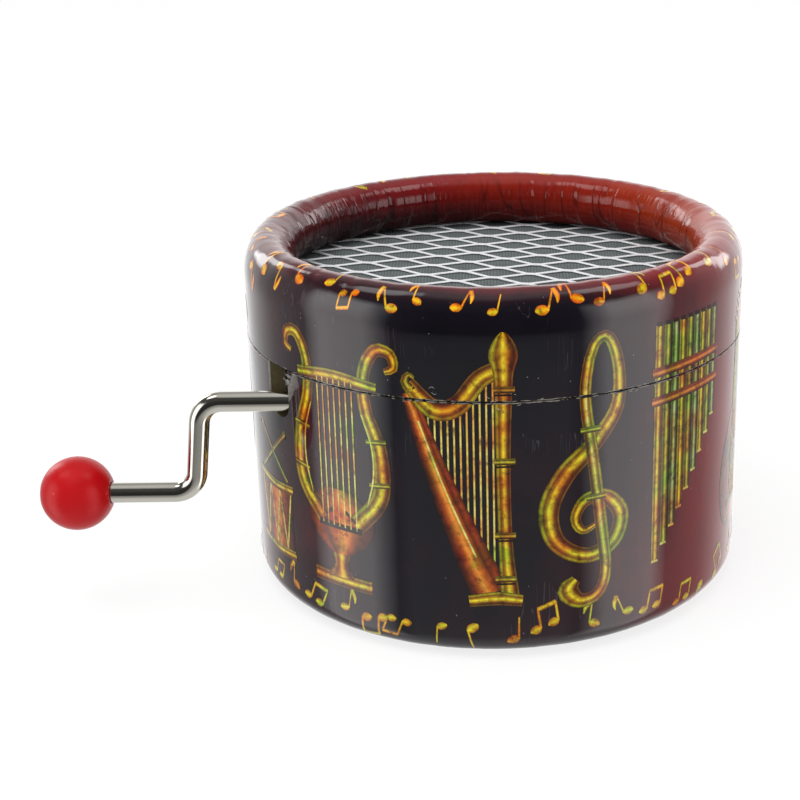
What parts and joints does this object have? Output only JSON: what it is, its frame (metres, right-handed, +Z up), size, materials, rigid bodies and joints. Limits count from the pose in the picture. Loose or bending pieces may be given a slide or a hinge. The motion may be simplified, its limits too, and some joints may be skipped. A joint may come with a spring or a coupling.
{
  "type": "hand-cranked music box",
  "caption": "Round paper-covered card box with a mesh grille in its lid and a wire crank with a red ball knob that turns a pinned-drum musical movement inside.",
  "frame": {"origin": "centre of the bottom board's underside, where the box stands", "axes": "+Z up along the box's axis; the crank's shaft leaves the wall along -X; -Y is the front"},
  "size_m": [0.0963, 0.07, 0.05],
  "materials": {
    "card": "raw wound board, matte",
    "printed_paper": "glossy laminated print",
    "mesh_metal": "bright expanded mesh",
    "backing": "fine dark cloth",
    "fibre_board": "fibre board",
    "nickel_wire": "bright nickel plate",
    "red_plastic": "satin moulded plastic",
    "brass": "machined",
    "steel": "zinc plated",
    "comb_steel": "ground spring steel",
    "lead": "dull lead"
  },
  "bodies": {
    "case": {"base_tube": "card", "base_wrap": "printed_paper", "neck_tube": "card", "bottom_board": "fibre_board", "riser_block": "fibre_board", "bedplate": "steel", "comb_anvil": "steel", "comb": "comb_steel", "comb_weights": "lead", "comb_screws": "steel", "drive_bracket": "steel", "arbor_post": "steel", "bracket_screws": "steel", "board_screws": "steel", "board_nuts": "steel"},
    "lid": {"lid_tube": "card", "lid_wrap": "printed_paper", "grille": "mesh_metal", "grille_cloth": "backing", "grille_ring": "card"},
    "crank": {"crank_wire": "nickel_wire", "worm": "brass", "shaft_collars": "brass", "shaft_clip": "nickel_wire"},
    "knob": {"knob": "red_plastic"},
    "drum": {"drum_shell": "brass", "drum_caps": "brass", "drum_pins": "steel", "drum_arbor": "steel", "drum_gear": "brass"}
  },
  "joints": [
    {"name": "lid_lift", "type": "slide", "parent": "case", "child": "lid", "axis": [0, 0, 1], "range_m": [0, 0.02]},
    {"name": "crank_turn", "type": "hinge", "parent": "case", "child": "crank", "pos_m": [-0.008, -0.0198, 0.031], "axis": [1, 0, 0], "continuous": true},
    {"name": "knob_turn", "type": "hinge", "parent": "crank", "child": "knob", "pos_m": [-0.05675, -0.0198, 0.018], "axis": [1, 0, 0], "continuous": true},
    {"name": "drum_turn", "type": "hinge", "parent": "case", "child": "drum", "pos_m": [-0.008, -0.0066, 0.022], "axis": [0, 1, 0], "continuous": true}
  ],
  "couplings": [
    {"joint": "drum_turn", "follows": "crank_turn", "ratio": -0.05}
  ]
}
